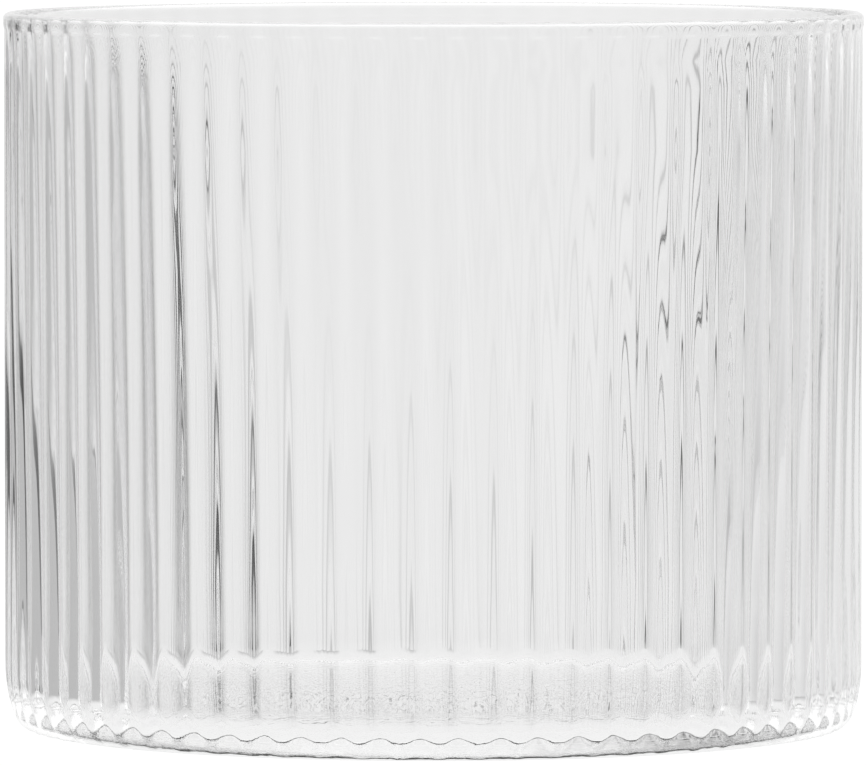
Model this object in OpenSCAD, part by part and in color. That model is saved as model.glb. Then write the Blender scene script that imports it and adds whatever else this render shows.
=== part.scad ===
// Low ribbed tea glass: one piece of clear glass, blown into a fluted mould.
// It stands on the XY plane, centred on the Z axis, in millimetres.

/* [Body] */
// Widest diameter, over the rim band
outer_d = 80; // [60:1:110]
// Height from the table to the top of the rim
height = 66.5; // [45:0.5:120]
// Thickness of the glass just under the rim, at the crest of a rib
wall_t = 1.6; // [1.3:0.1:4]
// Thickness of the glass where the wall meets the floor, at the crest of a rib
wall_low_t = 2.4; // [1.6:0.1:4.5]
// Thickness of the floor above the foot ring
floor_t = 1.9; // [1.7:0.1:8]
// Radius of the curve between the floor and the wall, inside
cup_round = 2.6; // [1.5:0.1:8]

/* [Ribs] */
// How many ribs run round the wall
rib_count = 68; // [48:2:84]
// Depth of the grooves between the ribs
groove_depth = 0.4; // [0.3:0.05:0.6]
// How far the crests lie inside the rim band
rib_setback = 0.1; // [0.05:0.05:0.4]
// Height at which a rib starts to turn in towards the foot
heel_h = 4; // [3:0.25:8]

/* [Rim] */
// Height of the plain band, from its lower edge to where the lip rounds over
rim_band_h = 1.1; // [1:0.1:5]
// How far behind the grooves the rounding of the band's lower edge starts
rim_edge_lap = 0.15; // [0.1:0.05:0.3]

/* [Foot] */
// How far the plain foot lies behind the bottoms of the grooves
foot_setback = 0.4; // [0.3:0.05:0.9]
// Rounding of the foot's outer edge
foot_round = 1.7; // [0.6:0.1:2.4]
// Width of the ring that the glass stands on
foot_ring_w = 3; // [1.5:0.25:6]
// Rise of the underside inside the ring
punt_h = 0.6; // [0.3:0.1:1.2]

/* [Hidden] */
$fn = 180;
glass_tint = [0.93, 0.95, 0.95, 0.45];

// Radii of the wall, from outside to inside
band_r = outer_d / 2;
crest_r = band_r - rib_setback;
groove_r = crest_r - groove_depth;
core_r = groove_r - foot_setback;
cup_r = crest_r - wall_t;
cup_low_r = crest_r - wall_low_t;
// The ribs are rooted half way into the plain wall behind them
root_r = (core_r + cup_r) / 2;

// A rib is part of a round rod, which meets its neighbours at the groove's bottom
half_pitch = 180 / rib_count;
groove_x = groove_r * cos(half_pitch) - crest_r;
groove_y = groove_r * sin(half_pitch);
rod_r = (groove_x * groove_x + groove_y * groove_y) / (-2 * groove_x);
rod_centre_r = crest_r - rod_r;

// The lip is half round, from the band's face to the cup
lip_r = (band_r - cup_r) / 2;
lip_z = height - lip_r;
band_low_z = lip_z - rim_band_h;
band_edge_r = rib_setback + groove_depth + rim_edge_lap;

// A rib ends inside the foot's rounding below, and behind the band's face above
rib_low_z = foot_round / 2;
rib_high_z = (band_low_z + band_edge_r + lip_z) / 2;

// The foot stands on a narrow ring, inside which the underside is lifted
foot_flat_r = core_r - foot_round;
punt_r = foot_flat_r - foot_ring_w;

// How far a cut runs past what it cuts
overrun = wall_t;

// Outline of the plain wall and floor, without ribs, lip or band
module blank_outline() {
    translate([0, foot_round])
        square([core_r, lip_z - foot_round]);
    square([foot_flat_r, lip_z]);
    translate([foot_flat_r, foot_round])
        circle(foot_round);
}

// Outline of the rim: a half-round lip over a plain band with a round lower edge
module rim_outline() {
    intersection() {
        translate([cup_r + lip_r, lip_z])
            circle(lip_r);
        translate([cup_r, lip_z])
            square([band_r - cup_r, lip_r]);
    }
    translate([cup_r, band_low_z + band_edge_r])
        square([band_r - cup_r, rim_band_h - band_edge_r]);
    translate([cup_r, band_low_z])
        square([band_r - cup_r - band_edge_r, rim_band_h]);
    translate([band_r - band_edge_r, band_low_z + band_edge_r])
        circle(band_edge_r);
}

// Outline of the space inside, which widens to the rim, with a round corner at the floor
module cup_outline() {
    polygon([
        [0, floor_t + cup_round],
        [cup_low_r, floor_t + cup_round],
        [cup_r, lip_z],
        [0, lip_z],
    ]);
    translate([0, floor_t])
        square([cup_low_r - cup_round, cup_round]);
    translate([cup_low_r - cup_round, floor_t + cup_round])
        circle(cup_round);
}

// Outline of the shallow hollow under the foot, with a round edge
module punt_outline() {
    translate([0, -overrun])
        square([punt_r - punt_h, punt_h + overrun]);
    translate([punt_r - punt_h, 0])
        circle(punt_h);
}

// The plain shell: wall, floor, lip and band
module shell() {
    rotate_extrude() {
        difference() {
            blank_outline();
            cup_outline();
            punt_outline();
        }
        rim_outline();
    }
}

// Outline of the rod that a rib is cut from, with a ball end at the heel
module rod_outline() {
    translate([0, heel_h])
        square([rod_r, rib_high_z - heel_h]);
    intersection() {
        translate([0, heel_h])
            circle(rod_r);
        translate([0, rib_low_z])
            square([rod_r + overrun, heel_h - rib_low_z]);
    }
}

// Plan of one rib's own slice of the wall, from its root outwards
module slice_plan() {
    slice_x = outer_d * cos(half_pitch);
    slice_y = outer_d * sin(half_pitch);
    difference() {
        polygon([[0, 0], [slice_x, -slice_y], [slice_x, slice_y]]);
        circle(root_r);
    }
}

// One rib, with its crest on the X axis, which turns in towards the foot
module rib() {
    intersection() {
        translate([rod_centre_r, 0, 0])
            rotate([0, 0, 180])
                rotate_extrude()
                    rod_outline();
        linear_extrude(height)
            slice_plan();
    }
}

module tumbler() {
    color(glass_tint) {
        shell();
        for (i = [0 : rib_count - 1])
            rotate([0, 0, 2 * i * half_pitch])
                rib();
    }
}

tumbler();
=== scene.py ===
# %% [markdown]
# # A ribbed tea glass
#
# This glass is one piece: a short, straight wall with 68 upright ribs outside, a smooth band
# round the rim and a turned-in heel. It is blown into a fluted mould, so the ribs are round
# like rods, the grooves between them are narrow, and the inside of the wall follows the ribs
# softly. Nearly all that one sees in such a glass is light bent by those two surfaces, so
# the shape of the wall, and the studio around it, matter more than any colour.
#
# The first cell loads the measured model, which gives the places and the sizes to keep.

# %% Load the frame
import math

import bpy
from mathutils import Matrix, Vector


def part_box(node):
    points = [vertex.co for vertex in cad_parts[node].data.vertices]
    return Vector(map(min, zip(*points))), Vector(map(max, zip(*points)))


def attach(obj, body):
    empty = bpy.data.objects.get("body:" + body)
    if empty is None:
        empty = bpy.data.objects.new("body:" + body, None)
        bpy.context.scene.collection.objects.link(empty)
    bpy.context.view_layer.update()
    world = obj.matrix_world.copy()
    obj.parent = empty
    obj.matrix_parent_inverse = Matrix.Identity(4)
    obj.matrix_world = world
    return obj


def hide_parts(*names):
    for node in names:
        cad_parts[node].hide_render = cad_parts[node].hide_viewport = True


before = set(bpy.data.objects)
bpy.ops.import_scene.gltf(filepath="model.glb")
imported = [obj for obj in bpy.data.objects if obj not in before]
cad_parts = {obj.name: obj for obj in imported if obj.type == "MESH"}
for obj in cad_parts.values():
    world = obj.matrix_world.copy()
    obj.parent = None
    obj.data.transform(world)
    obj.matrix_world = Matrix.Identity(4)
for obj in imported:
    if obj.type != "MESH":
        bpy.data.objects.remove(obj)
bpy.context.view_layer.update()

MM = 0.001
low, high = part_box("tumbler")
rim_r = (high[0] - low[0]) / 2
height = high[2]
print("glass:", round(2 * rim_r / MM, 2), "mm across,", round(height / MM, 2), "mm high")

# %% [markdown]
# ## A small language for node trees
#
# Shape and finish are both written as node trees here. A tree of many Math nodes is hard to
# read when every node takes four lines, so one class wraps a socket: adding or multiplying
# two wrapped sockets adds the Math node that does it. `Graph.add` makes any other node. It
# sets what the node is first, and then joins its inputs, because some sockets only appear
# once a node knows its settings.

# %% Node helpers
class Wire:
    """An output socket that can be used in sums."""

    def __init__(self, graph, socket):
        self.graph = graph
        self.socket = socket

    def __add__(self, other):
        return self.graph.math("ADD", self, other)

    def __radd__(self, other):
        return self.graph.math("ADD", other, self)

    def __sub__(self, other):
        return self.graph.math("SUBTRACT", self, other)

    def __rsub__(self, other):
        return self.graph.math("SUBTRACT", other, self)

    def __mul__(self, other):
        return self.graph.math("MULTIPLY", self, other)

    def __rmul__(self, other):
        return self.graph.math("MULTIPLY", other, self)

    def __truediv__(self, other):
        return self.graph.math("DIVIDE", self, other)

    def __rtruediv__(self, other):
        return self.graph.math("DIVIDE", other, self)


class Graph:
    """A node tree, and the two ways in which nodes are added to it."""

    def __init__(self, tree):
        self.tree = tree

    def math(self, operation, *terms):
        return self.add("ShaderNodeMath", {"operation": operation}, dict(enumerate(terms)))

    def add(self, kind, settings=None, values=None, out=0):
        node = self.tree.nodes.new(kind)
        for name, value in (settings or {}).items():
            if name == "stops":
                self.set_stops(node.color_ramp, value)
            else:
                setattr(node, name, value)
        for key, value in (values or {}).items():
            self.feed(node.inputs[key], value)
        return Wire(self, node.outputs[out])

    def feed(self, target, value):
        if isinstance(value, Wire):
            self.tree.links.new(value.socket, target)
        else:
            target.default_value = value

    def set_stops(self, ramp, stops):
        while len(ramp.elements) > 1:
            ramp.elements.remove(ramp.elements[-1])
        for number, (place, shade) in enumerate(stops):
            stop = ramp.elements[0] if number == 0 else ramp.elements.new(place)
            stop.position = place
            stop.color = (shade, shade, shade, 1)


print("node helpers are ready")

# %% [markdown]
# ## The outline of the glass
#
# Cut through the axis, the glass is one closed outline: the hollow under the foot, the foot's
# rounding, the outside of the wall, the lip, the inside of the wall and the floor. One could
# draw it as a curve and lathe it, but a lathe only makes round things. So each point of the
# outline carries three numbers instead of one radius: how far out the ribs' crests are, how
# deep the grooves between them are, and how far out the plain glass behind them is. The
# ribs end where the plain glass comes through, and nowhere else. Two more numbers shape the
# wave: the pinch makes the grooves narrow, and the shift turns the ripple inside against the
# ribs outside.
#
# The wall is thinner at the rim than at the foot, because the glass ran down in the mould.
# Where it is thin, the ribs show inside as a ripple, and where it is thick, hardly. The
# grooves and the ripple are each given at the rim, half way down and at the floor.

# %% Sizes of the glass
RIBS = 68
WALL_TOP = 1.1 * MM
WALL_LOW = 2.9 * MM
FLOOR = 1.9 * MM
CUP_ROUND = 2.6 * MM
RIM_SETBACK = 0.1 * MM
BAND_H = 1.1 * MM
BAND_EDGE = 0.65 * MM
HEEL_IN = 2.2 * MM
HEEL_H = 6 * MM
FOOT_SETBACK = 0.8 * MM
FOOT_ROUND = 1.7 * MM
FOOT_RING = 3 * MM
PUNT = 0.6 * MM

crest_r = rim_r - RIM_SETBACK
cup_top_r = crest_r - WALL_TOP
cup_low_r = crest_r - WALL_LOW
core_r = crest_r - FOOT_SETBACK
flat_r = core_r - FOOT_ROUND
punt_r = flat_r - FOOT_RING
lip_r = (rim_r - cup_top_r) / 2
lip_z = height - lip_r
band_z = lip_z - BAND_H
wall_low_z = FLOOR + CUP_ROUND
print("cup radius:", round(cup_low_r / MM, 2), "to", round(cup_top_r / MM, 2), "mm")


# %% How the wall changes on the way down
GROOVE = (0.13 * MM, 0.31 * MM, 0.41 * MM)
RIPPLE = (0.42 * MM, 0.16 * MM, 0.14 * MM)
PINCH = 0.17
SHIFT = -0.09
GROOVE_FADE = 2 * MM
GROOVE_AT_BAND = 0.35
RIPPLE_FADE_TOP = 2.5 * MM
RIPPLE_START = 0.4
RIPPLE_FADE_LOW = 3 * MM


def between_0_and_1(value):
    return min(1, max(0, value))


def way_down(z):
    """Share of the way from the rim band down to the floor's corner."""
    return between_0_and_1((band_z - z) / (band_z - wall_low_z))


def through(values, share):
    """A smooth curve through a value at the top, one half way and one at the bottom."""
    top, middle, bottom = values
    from_top = top * (1 - share) * (1 - 2 * share)
    from_middle = middle * 4 * share * (1 - share)
    from_bottom = bottom * share * (2 * share - 1)
    return from_top + from_middle + from_bottom


def groove_depth(z):
    """Depth of the grooves outside: the mould bites deeper towards the foot."""
    fade = between_0_and_1((band_z - z) / GROOVE_FADE)
    return through(GROOVE, way_down(z)) * (GROOVE_AT_BAND + (1 - GROOVE_AT_BAND) * fade)


def ripple_depth(z):
    """Depth of the ripple inside, which fades out below the lip and above the floor."""
    fade_top = between_0_and_1((lip_z - z) / RIPPLE_FADE_TOP - RIPPLE_START)
    fade_low = between_0_and_1((z - wall_low_z) / RIPPLE_FADE_LOW)
    return through(RIPPLE, way_down(z)) * (fade_top * fade_low)


def inside_r(z):
    """Radius of the cup, in front of a rib's crest."""
    return cup_top_r + (cup_low_r - cup_top_r) * way_down(z)


def heel_r(z):
    """Radius of the crests, which turn in below the heel's height."""
    share = max(0, (HEEL_H - z) / HEEL_H)
    return crest_r - HEEL_IN * (1 - math.sqrt(max(0, 1 - share ** 2)))


print("grooves:", round(groove_depth(0) / MM, 2), "mm deep at the foot")

# %% Points of the outline
def steps(first, last, count):
    """Evenly spaced numbers from first to last."""
    return [first + (last - first) * i / (count - 1) for i in range(count)]


def arc(centre, radius, first, last, count):
    """Points of a round corner, as (radius, height), between two angles in degrees."""
    points = []
    for angle in steps(math.radians(first), math.radians(last), count):
        points.append((centre[0] + radius * math.cos(angle), centre[1] + radius * math.sin(angle)))
    return points


FOOT_ARC = (-70, -10)
HEEL_SHARES = (0, 0.12, 0.25, 0.4, 0.6, 0.8, 1.05)
WALL_FIRST = 1.3 * HEEL_H
FADE_SHARES = (0.6, 0.2)
FLAT_SHARE = 0.9
EDGE_POINTS = 3
FOOT_POINTS = 5
WALL_POINTS = 14
BAND_POINTS = 4
LIP_POINTS = 8
CUP_POINTS = 12
CORNER_POINTS = 5
outline = []


def plain(r, z):
    """A point with no ribs: their crests lie far inside it."""
    outline.append((z, -rim_r, 0, r, 0, 0))


def ribbed(z, plain_r=0):
    """A point outside, with ribs in front of the plain glass."""
    outline.append((z, heel_r(z), groove_depth(z), plain_r, PINCH, 0))


def rippled(z):
    """A point inside, with the ripple."""
    outline.append((z, inside_r(z), ripple_depth(z), 0, 0, SHIFT))


for share in (0, FLAT_SHARE):
    plain((punt_r - PUNT) * share, PUNT)
for r, z in arc((punt_r - PUNT, 0), PUNT, 90, 0, EDGE_POINTS):
    plain(r, z)
plain(flat_r, 0)
for r, z in arc((flat_r, FOOT_ROUND), FOOT_ROUND, *FOOT_ARC, FOOT_POINTS):
    ribbed(z, r)
for share in HEEL_SHARES:
    ribbed(FOOT_ROUND + (HEEL_H - FOOT_ROUND) * share, core_r)
for z in steps(WALL_FIRST, band_z - GROOVE_FADE, WALL_POINTS):
    ribbed(z)
for share in FADE_SHARES:
    ribbed(band_z - GROOVE_FADE * share)
for r, z in arc((rim_r - BAND_EDGE, band_z + BAND_EDGE), BAND_EDGE, -90, 0, BAND_POINTS):
    ribbed(z, r)
for r, z in arc((cup_top_r + lip_r, lip_z), lip_r, 0, 180, LIP_POINTS):
    plain(r, z)
for z in steps(lip_z, wall_low_z, CUP_POINTS)[1:-1]:
    rippled(z)
for r, z in arc((cup_low_r - CUP_ROUND, wall_low_z), CUP_ROUND, 0, -90, CORNER_POINTS):
    plain(r, z)
for share in (FLAT_SHARE, 0):
    plain((cup_low_r - CUP_ROUND) * share, FLOOR)
print("the outline has", len(outline), "points")

# %% Outline as a mesh
outline_mesh = bpy.data.meshes.new("outline")
outline_mesh.from_pydata([(0, 0, point[0]) for point in outline], [], [])
for number, name in enumerate(("level", "crest", "depth", "plain", "pinch", "shift")):
    values = outline_mesh.attributes.new(name, "FLOAT", "POINT")
    values.data.foreach_set("value", [point[number] for point in outline])
tumbler = bpy.data.objects.new("tumbler_glass", outline_mesh)
bpy.context.scene.collection.objects.link(tumbler)
print("the outline mesh carries", len(outline_mesh.attributes), "attributes")

# %% [markdown]
# ## The ribs, by Geometry Nodes
#
# The ribs could be modelled one by one and copied round, but a blown glass is never that
# even: each groove sits a hair to one side, and some are deeper. A rule says this better
# than copies do. The tree below lays a flat grid, with one column of points for each small
# step round the glass and one row for each point of the outline, and then moves every point
# to its place. Each groove gets a random place and depth, from a fixed seed, so the same
# glass comes out each time, and a rib takes its values from the grooves on both sides. The
# seam and the two poles close when points at one place are merged.

# %% Tree of the ribs
COLUMNS = 24
BLEND = 0.05 * MM
FIRST_CREST = math.radians(0.8 - 90)
MERGE = 0.002 * MM
ribs_tree = bpy.data.node_groups.new("wrap_ribs", "GeometryNodeTree")
ribs_tree.interface.new_socket("Geometry", in_out="OUTPUT", socket_type="NodeSocketGeometry")
ribs_tree.interface.new_socket("Outline", in_out="INPUT", socket_type="NodeSocketGeometry")
tree_inputs = (
    ("Ribs", "NodeSocketInt", RIBS),
    ("Columns", "NodeSocketInt", COLUMNS),
    ("Rows", "NodeSocketInt", len(outline)),
    ("Rim radius", "NodeSocketFloat", rim_r),
    ("Blend", "NodeSocketFloat", BLEND),
    ("First crest", "NodeSocketFloat", FIRST_CREST),
    ("Place spread", "NodeSocketFloat", 0.06),
    ("Depth spread", "NodeSocketFloat", 0.1),
    ("Seed", "NodeSocketInt", 4),
    ("Glass", "NodeSocketMaterial", None),
)
input_ids = {}
for name, kind, value in tree_inputs:
    item = ribs_tree.interface.new_socket(name, in_out="INPUT", socket_type=kind)
    input_ids[name] = item.identifier

rib_nodes = Graph(ribs_tree)
group_in = ribs_tree.nodes.new("NodeGroupInput")
put_in = {socket.name: Wire(rib_nodes, socket) for socket in group_in.outputs}
ribs, columns, rows = put_in["Ribs"], put_in["Columns"], put_in["Rows"]

grid_size = {"Vertices X": ribs * columns + 1, "Vertices Y": rows}
grid = rib_nodes.add("GeometryNodeMeshGrid", None, grid_size)
index = rib_nodes.add("GeometryNodeInputIndex")
column = rib_nodes.math("FLOOR", (index + 0.5) / rows)
row = index - column * rows
rib = rib_nodes.math("FLOOR", (column + 0.5) / columns)
along = column / columns - rib

print("the grid has", RIBS * COLUMNS + 1, "columns of", len(outline), "points")

# %% Place round the glass
def random_for(number, spread, salt):
    """A random number for each groove, between minus and plus the spread."""
    values = {
        "Min": -1 * spread,
        "Max": spread,
        "ID": rib_nodes.math("MODULO", number, ribs),
        "Seed": put_in["Seed"] + salt,
    }
    return rib_nodes.add("FunctionNodeRandomValue", {"data_type": "FLOAT"}, values, out=1)


pitch = 2 * math.pi / ribs
left = (rib - 0.5 + random_for(rib, put_in["Place spread"], 0)) * pitch
right = (rib + 0.5 + random_for(rib + 1, put_in["Place spread"], 0)) * pitch
angle = put_in["First crest"] + left + (right - left) * along
print("a rib is", round(360 / RIBS, 2), "degrees wide")

# %% Distance from the axis
def outline_value(name):
    """One of the outline's numbers, for the row that a point is in."""
    values = rib_nodes.add("GeometryNodeInputNamedAttribute", {"data_type": "FLOAT"}, {"Name": name})
    settings = {"data_type": "FLOAT", "domain": "POINT"}
    inputs = {0: put_in["Outline"], 1: values, "Index": row}
    return rib_nodes.add("GeometryNodeSampleIndex", settings, inputs)


def root(value):
    return rib_nodes.math("SQRT", rib_nodes.math("MAXIMUM", value, 0.0))


left_depth = random_for(rib, put_in["Depth spread"], 1)
right_depth = random_for(rib + 1, put_in["Depth spread"], 1)
depth = outline_value("depth") * (1 + left_depth + (right_depth - left_depth) * along)
turn = (along - 0.5 + outline_value("shift")) * (2 * math.pi)
narrow = outline_value("pinch") * (1 - rib_nodes.math("COSINE", turn * 2))
drop = 1 - rib_nodes.math("COSINE", turn) - narrow
drop = depth * drop / 2
wave_r = outline_value("crest") - drop
plain_r = outline_value("plain")
gap = wave_r - plain_r
blend = put_in["Blend"]
far_r = (wave_r + plain_r + root(gap * gap + blend * blend)) / 2
far_r = rib_nodes.math("MINIMUM", far_r, put_in["Rim radius"])
print("so far the tree has", len(ribs_tree.nodes), "nodes")

# %% Closed skin of glass
spot = rib_nodes.add(
    "ShaderNodeCombineXYZ",
    None,
    {
        "X": far_r * rib_nodes.math("COSINE", angle),
        "Y": far_r * rib_nodes.math("SINE", angle),
        "Z": outline_value("level"),
    },
)
skin = rib_nodes.add("GeometryNodeSetPosition", None, {"Geometry": grid, "Position": spot})
skin = rib_nodes.add("GeometryNodeMergeByDistance", None, {"Geometry": skin, "Distance": MERGE})
skin = rib_nodes.add("GeometryNodeSetShadeSmooth", None, {"Geometry": skin})
skin = rib_nodes.add("GeometryNodeRealizeInstances", None, {"Geometry": skin})
skin = rib_nodes.add("GeometryNodeSetMaterial", None, {"Geometry": skin, "Material": put_in["Glass"]})
group_out = ribs_tree.nodes.new("NodeGroupOutput")
rib_nodes.feed(group_out.inputs[0], skin)
print("the tree of the ribs has", len(ribs_tree.nodes), "nodes")

# %% [markdown]
# ## Clear glass
#
# Soda-lime glass bends light with an index of about 1.5 and hardly colours it at this
# thickness, so the finish is a fully see-through Principled shader. The wall is fire-polished
# and smooth. Near the foot the glass cooled against the mould first, which left faint swirls.
# They could be modelled, but they are far shallower than a groove, so a bump that fades out
# above the heel is enough.

# %% Glass finish
SWIRLS_FULL = 3 * MM
SWIRLS_END = 8 * MM
SWIRL_SCALE = 260
SWIRL_DEPTH = 0.1 * MM
glass = bpy.data.materials.new("clear_glass")
glass.use_nodes = True
shader = glass.node_tree.nodes["Principled BSDF"]
shader.inputs["Base Color"].default_value = (0.985, 0.985, 0.985, 1)
shader.inputs["Transmission Weight"].default_value = 1
shader.inputs["IOR"].default_value = 1.5
shader.inputs["Roughness"].default_value = 0

glass_nodes = Graph(glass.node_tree)
where = glass_nodes.add("ShaderNodeTexCoord", out="Object")
level = glass_nodes.add("ShaderNodeSeparateXYZ", None, {0: where}, out="Z")
foot_only = glass_nodes.add(
    "ShaderNodeMapRange",
    {"clamp": True},
    {"Value": level, 1: SWIRLS_FULL, 2: SWIRLS_END, 3: 1.0, 4: 0.0},
)
swirl_look = {"Vector": where, "Scale": SWIRL_SCALE, "Detail": 2, "Distortion": 1.5}
swirls = glass_nodes.add("ShaderNodeTexNoise", None, swirl_look)
bump_look = {"Height": swirls * foot_only, "Strength": 0.5, "Distance": SWIRL_DEPTH}
bump = glass_nodes.add("ShaderNodeBump", None, bump_look)
glass_nodes.feed(shader.inputs["Normal"], bump)
print("the swirls end", round(SWIRLS_END / MM, 1), "mm above the table")

# %% [markdown]
# ## From tree to mesh
#
# A modifier's inputs are set by the identifier that each socket has, and all of them before
# the object is evaluated for the first time. The result is then copied into a plain mesh, so
# the finished piece carries no modifier.

# %% Make the glass
modifier = tumbler.modifiers.new("wrap_ribs", "NODES")
modifier.node_group = ribs_tree
for name, kind, value in tree_inputs:
    modifier[input_ids[name]] = glass if name == "Glass" else value
evaluated = tumbler.evaluated_get(bpy.context.evaluated_depsgraph_get())
tumbler_mesh = bpy.data.meshes.new_from_object(evaluated)
tumbler.modifiers.clear()
tumbler.data = tumbler_mesh
tumbler_mesh.name = "tumbler_glass"
print("the glass has", len(tumbler_mesh.vertices), "points and", len(tumbler_mesh.polygons), "faces")

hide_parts("tumbler")
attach(tumbler, "root")

# %% [markdown]
# ## The studio
#
# Clear glass shows its surroundings and little else. The photographer stood it on a white
# sheet in front of a pale wall, with soft lights at the front on both sides, and most likely
# with a dark gap between the pale wall and what stood on the left. Lamps and panels could be
# placed one by one, but what the glass sees of them is only how bright each direction is. So
# a short list per part of the set gives that brightness, in degrees from straight behind the
# glass (plus is right), and the room takes its light from it. The sheet is painted with the
# same list as painted shade, with a painted pool of light under the glass, and glows with it.
# The tones are chosen so that the glass looks as in the photo, and the real studio may have
# differed.
#
# The camera sees plain white, as in the photo. Only the light that has gone through the
# glass, or bounced off it, meets the darker sides. The dark gap is low: above and below the
# glass the room is never darker than `LEAST`, and further up and down it is bright.

# %% Brightness round the room
FRONT = ((-180, 0.6), (-150, 0.75), (-130, 0.7))
LEFT_SIDE = ((-100, 0.5), (-36, 0.5))
DARK_GAP = ((-34, 0.0), (-25, 0.0))
PALE_WALL = ((-22, 0.5), (-10, 0.85), (10, 0.9), (15, 0.85), (40, 0.85))
RIGHT_SIDE = ((60, 0.75), (90, 0.4), (110, 0.4), (150, 0.65), (180, 0.6))
LIGHTS = FRONT + LEFT_SIDE + DARK_GAP + PALE_WALL + RIGHT_SIDE
WHITE = (1.05, 1.05, 1.05, 1)
TOP = (1.1, 1.1, 1.1, 1)
# Painted light on the sheet: the glow of the painted pool of light under the glass.
PAINTED_POOL_LIGHT = (0.9, 0.9, 0.9, 1)
LEAST = 0.5
LEAST_FROM = 0.1
LEAST_FULL = 0.16
TOP_FROM = 0.25
TOP_FULL = 0.6


def room_shade(graph, place):
    """Brightness towards a direction, and the direction's three parts."""
    parts = graph.tree.nodes.new("ShaderNodeSeparateXYZ")
    graph.feed(parts.inputs[0], place)
    east, north, up = (Wire(graph, socket) for socket in parts.outputs)
    turn = graph.math("ARCTAN2", east, north) / (2 * math.pi) + 0.5
    stops = [((degrees + 180) / 360, shade) for degrees, shade in LIGHTS]
    around = graph.add("ShaderNodeValToRGB", {"stops": stops}, {"Fac": turn})
    return around, east, north, up


def blend_colours(graph, share, first, second):
    return graph.add("ShaderNodeMix", {"data_type": "RGBA"}, {0: share, 6: first, 7: second}, out=2)


def white_to_camera(graph, shade):
    seen = graph.add("ShaderNodeLightPath", out="Is Camera Ray")
    return blend_colours(graph, seen, shade, WHITE)


print("the room has", len(LIGHTS), "brightness stops")

# %% The room
world = bpy.data.worlds.new("studio")
bpy.context.scene.world = world
world.use_nodes = True
room_nodes = Graph(world.node_tree)
outward = room_nodes.add("ShaderNodeTexCoord", out="Generated")
around, east, north, up = room_shade(room_nodes, outward)
steep = room_nodes.math("ABSOLUTE", up)
smooth = {"interpolation_type": "SMOOTHSTEP"}
least_range = {"Value": steep, 1: LEAST_FROM, 2: LEAST_FULL, 3: 0.0, 4: LEAST}
least = room_nodes.add("ShaderNodeMapRange", smooth, least_range)
around = room_nodes.math("MAXIMUM", around, least)
away = room_nodes.add("ShaderNodeMapRange", smooth, {"Value": steep, 1: TOP_FROM, 2: TOP_FULL})
room = white_to_camera(room_nodes, blend_colours(room_nodes, away, around, TOP))
room_nodes.feed(world.node_tree.nodes["Background"].inputs["Color"], room)
print("the room's tree has", len(world.node_tree.nodes), "nodes")

# %% The sheet under the glass, glowing with painted light
FLOOR_R = 50 * MM
# Size of the painted pool of light on the sheet, and how wide its edge fades.
PAINTED_POOL_R = 49 * MM
PAINTED_POOL_EDGE = 6 * MM
FLOOR_DROP = 0.02 * MM
SIDES = 128
rim_points = []
for turn in steps(0, 2 * math.pi, SIDES + 1)[:-1]:
    rim_points.append((FLOOR_R * math.cos(turn), FLOOR_R * math.sin(turn), -FLOOR_DROP))
sheet_mesh = bpy.data.meshes.new("floor_sheet")
sheet_mesh.from_pydata(rim_points, [], [tuple(range(SIDES))])
floor_sheet = bpy.data.objects.new("floor_sheet", sheet_mesh)
bpy.context.scene.collection.objects.link(floor_sheet)

# The sheet is not lit: it is black and glows, and its glow is painted light and painted shade.
paper = bpy.data.materials.new("sheet_painted_light")
paper.use_nodes = True
paper_nodes = Graph(paper.node_tree)
on_paper = paper_nodes.add("ShaderNodeTexCoord", out="Object")
around, east, north, up = room_shade(paper_nodes, on_paper)
from_axis = paper_nodes.math("SQRT", east * east + north * north)
# A painted pool of light lies under the glass and fades out towards the sheet's edge.
painted_pool_range = {"Value": from_axis, 1: PAINTED_POOL_R, 2: PAINTED_POOL_R - PAINTED_POOL_EDGE}
under = paper_nodes.add("ShaderNodeMapRange", None, painted_pool_range)
paper_shader = paper.node_tree.nodes["Principled BSDF"]
paper_shader.inputs["Base Color"].default_value = (0, 0, 0, 1)
paper_shader.inputs["Specular IOR Level"].default_value = 0
paper_shader.inputs["Emission Strength"].default_value = 1
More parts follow.
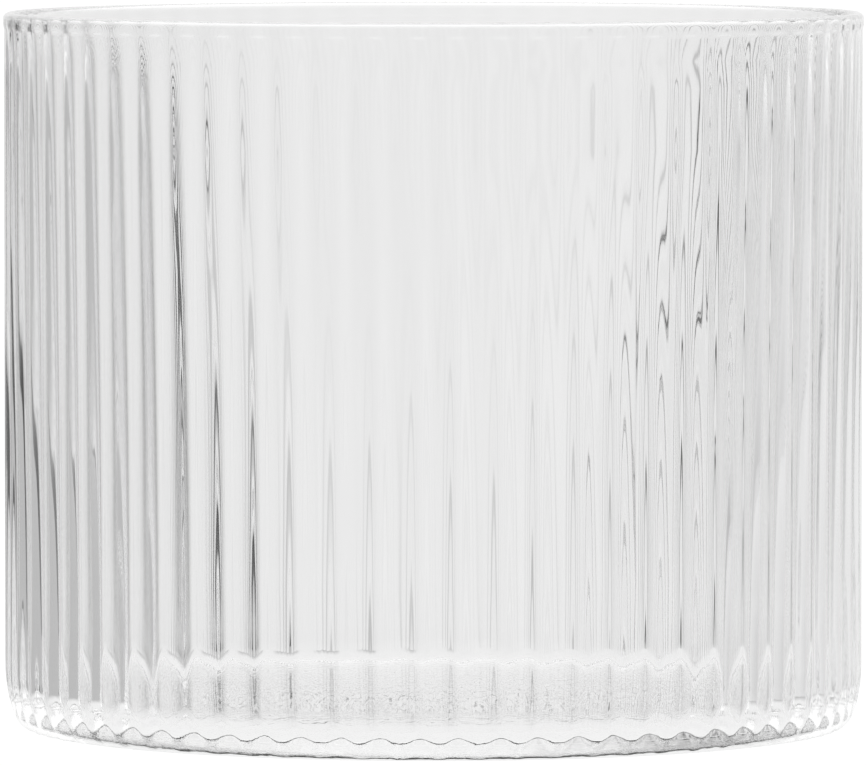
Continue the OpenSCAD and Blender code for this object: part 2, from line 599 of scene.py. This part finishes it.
# Outside the painted pool the glow follows the room's list as painted shade, never darker than LEAST;
around = paper_nodes.math("MAXIMUM", around, LEAST)
# the camera still sees the sheet plain white.
painted_sheet_light = white_to_camera(paper_nodes, blend_colours(paper_nodes, under, around, PAINTED_POOL_LIGHT))
paper_nodes.feed(paper_shader.inputs["Emission Color"], painted_sheet_light)
sheet_mesh.materials.append(paper)
print("the sheet is", round(2 * FLOOR_R / MM), "mm across")

# %% [markdown]
# ## The camera
#
# The photo was taken from about a metre away, slightly above the rim: the back of the rim
# shows above its front, and the foot looks rounder than the rim does. The camera is aimed a
# little downwards, at the middle of the picture.

# %% Camera
PHOTO_W = 867
PHOTO_H = 766
PIXELS_PER_MM = 10.76
FOOT_ROW = 726.8
DISTANCE = 1060 * MM
CAMERA_Z = 92.7 * MM

focal_px = DISTANCE / MM * PIXELS_PER_MM
horizon_row = FOOT_ROW - focal_px * CAMERA_Z / DISTANCE
tilt = math.atan((PHOTO_H / 2 - horizon_row) / focal_px)
lens = bpy.data.cameras.new("photo_camera")
lens.sensor_fit = "HORIZONTAL"
lens.sensor_width = 36
lens.lens = lens.sensor_width * focal_px / PHOTO_W
lens.clip_start = 10 * MM
lens.clip_end = 100
camera = bpy.data.objects.new("photo_camera", lens)
camera.location = Vector((0, -DISTANCE, CAMERA_Z))
camera.rotation_euler = (math.pi / 2 - tilt, 0, 0)
bpy.context.scene.collection.objects.link(camera)
bpy.context.scene.camera = camera
print("the camera looks down by", round(math.degrees(tilt), 2), "degrees")

# %% [markdown]
# ## How far light is followed
#
# Light that enters the rim or the foot can run along inside the wall for many bounces. Once
# the limit is reached it goes black, so the limit sets how dark the outlines of rim and foot
# get. Real glass has no such limit. With few bounces the outlines are nearly black, with very
# many they vanish, and this number was picked between the two.

# %% Picture settings
scene = bpy.context.scene
scene.view_settings.view_transform = "Standard"
BOUNCES = 28
scene.cycles.max_bounces = BOUNCES
scene.cycles.transmission_bounces = BOUNCES
scene.cycles.glossy_bounces = BOUNCES
print("light is followed for", BOUNCES, "bounces")

# %% [markdown]
# ## The end

print("the scene is built")
